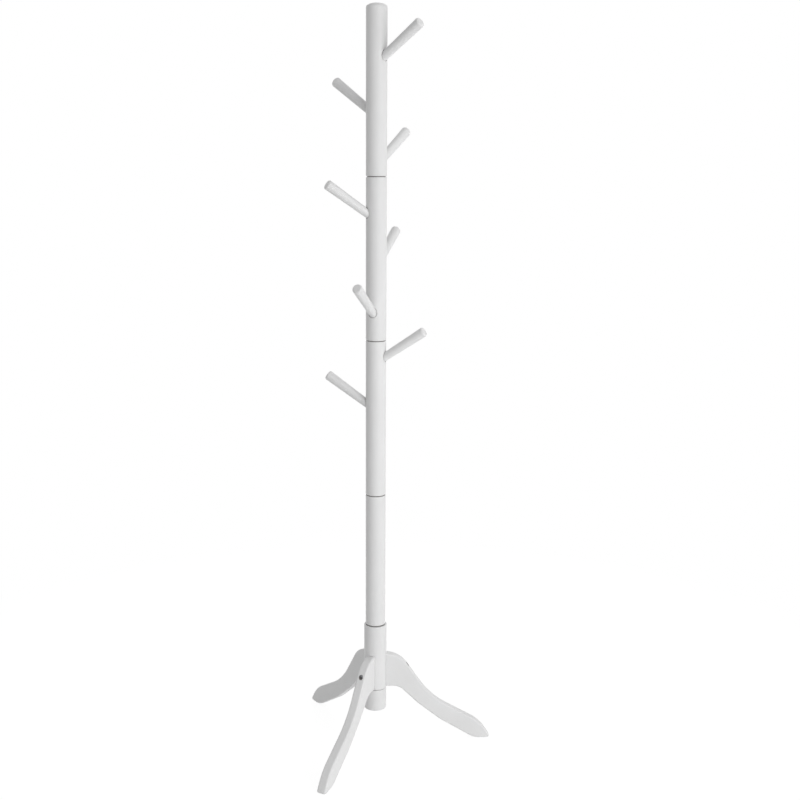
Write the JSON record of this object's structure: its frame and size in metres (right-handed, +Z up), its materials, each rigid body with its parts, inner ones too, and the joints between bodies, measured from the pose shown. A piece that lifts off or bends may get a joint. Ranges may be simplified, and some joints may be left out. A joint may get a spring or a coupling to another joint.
{
  "type": "standing coat rack",
  "caption": "White lacquered standing coat rack: a round pole of screwed sections with tapered upturned pegs, on a hub with curved splayed legs.",
  "frame": {"origin": "on the pole's axis at the floor, in the plane of the three soles", "axes": "+Z up along the pole, +X along the right-hand leg"},
  "size_m": [0.4393, 0.506, 1.75],
  "materials": {
    "white_lacquer": "satin white lacquer on turned and sawn wood",
    "zinc_steel": "zinc plated, rolled thread",
    "black_steel": "black nickel plate",
    "brass": "turned brass",
    "bare_wood": "bare dowel"
  },
  "bodies": {
    "base": {"hub": "white_lacquer", "hub_end_cap": "white_lacquer", "cap_stud": "zinc_steel", "joint_insert_4": "brass", "leg_right": "white_lacquer", "leg_rear_left": "white_lacquer", "leg_front": "white_lacquer", "leg_bolt_right": "black_steel", "leg_bolt_rear_left": "black_steel", "leg_bolt_front": "black_steel", "leg_washer_right": "zinc_steel", "leg_washer_rear_left": "zinc_steel", "leg_washer_front": "zinc_steel", "leg_insert_right": "brass", "leg_insert_rear_left": "brass", "leg_insert_front": "brass", "leg_dowel_right": "bare_wood", "leg_dowel_rear_left": "bare_wood", "leg_dowel_front": "bare_wood"},
    "stud_4": {"joint_stud_4": "zinc_steel"},
    "section_4": {"pole_section_4": "white_lacquer", "joint_insert_3": "brass"},
    "stud_3": {"joint_stud_3": "zinc_steel"},
    "section_3": {"pole_section_3": "white_lacquer", "joint_insert_2": "brass", "hook_7": "white_lacquer", "hook_stud_7": "zinc_steel", "hook_insert_7": "brass", "hook_8": "white_lacquer", "hook_stud_8": "zinc_steel", "hook_insert_8": "brass"},
    "stud_2": {"joint_stud_2": "zinc_steel"},
    "section_2": {"pole_section_2": "white_lacquer", "joint_insert_1": "brass", "hook_4": "white_lacquer", "hook_stud_4": "zinc_steel", "hook_insert_4": "brass", "hook_5": "white_lacquer", "hook_stud_5": "zinc_steel", "hook_insert_5": "brass", "hook_6": "white_lacquer", "hook_stud_6": "zinc_steel", "hook_insert_6": "brass"},
    "stud_1": {"joint_stud_1": "zinc_steel"},
    "section_1": {"pole_section_1": "white_lacquer", "hook_1": "white_lacquer", "hook_stud_1": "zinc_steel", "hook_insert_1": "brass", "hook_2": "white_lacquer", "hook_stud_2": "zinc_steel", "hook_insert_2": "brass", "hook_3": "white_lacquer", "hook_stud_3": "zinc_steel", "hook_insert_3": "brass"}
  },
  "joints": [
    {"name": "section_4_rise", "type": "slide", "parent": "base", "child": "stud_4", "axis": [0, 0, 1], "range_m": [0, 0.01425]},
    {"name": "section_4_turn", "type": "hinge", "parent": "stud_4", "child": "section_4", "pos_m": [0, 0, 0.27], "axis": [0, 0, 1], "range_deg": [0, 3420]},
    {"name": "section_3_rise", "type": "slide", "parent": "section_4", "child": "stud_3", "axis": [0, 0, 1], "range_m": [0, 0.01425]},
    {"name": "section_3_turn", "type": "hinge", "parent": "stud_3", "child": "section_3", "pos_m": [0, 0, 0.64], "axis": [0, 0, 1], "range_deg": [0, 3420]},
    {"name": "section_2_rise", "type": "slide", "parent": "section_3", "child": "stud_2", "axis": [0, 0, 1], "range_m": [0, 0.01425]},
    {"name": "section_2_turn", "type": "hinge", "parent": "stud_2", "child": "section_2", "pos_m": [0, 0, 1.01], "axis": [0, 0, 1], "range_deg": [0, 3420]},
    {"name": "section_1_rise", "type": "slide", "parent": "section_2", "child": "stud_1", "axis": [0, 0, 1], "range_m": [0, 0.01425]},
    {"name": "section_1_turn", "type": "hinge", "parent": "stud_1", "child": "section_1", "pos_m": [0, 0, 1.38], "axis": [0, 0, 1], "range_deg": [0, 3420]}
  ],
  "couplings": [
    {"joint": "section_4_rise", "follows": "section_4_turn", "m_per_rad": 0.00023873},
    {"joint": "section_3_rise", "follows": "section_3_turn", "m_per_rad": 0.00023873},
    {"joint": "section_2_rise", "follows": "section_2_turn", "m_per_rad": 0.00023873},
    {"joint": "section_1_rise", "follows": "section_1_turn", "m_per_rad": 0.00023873}
  ]
}
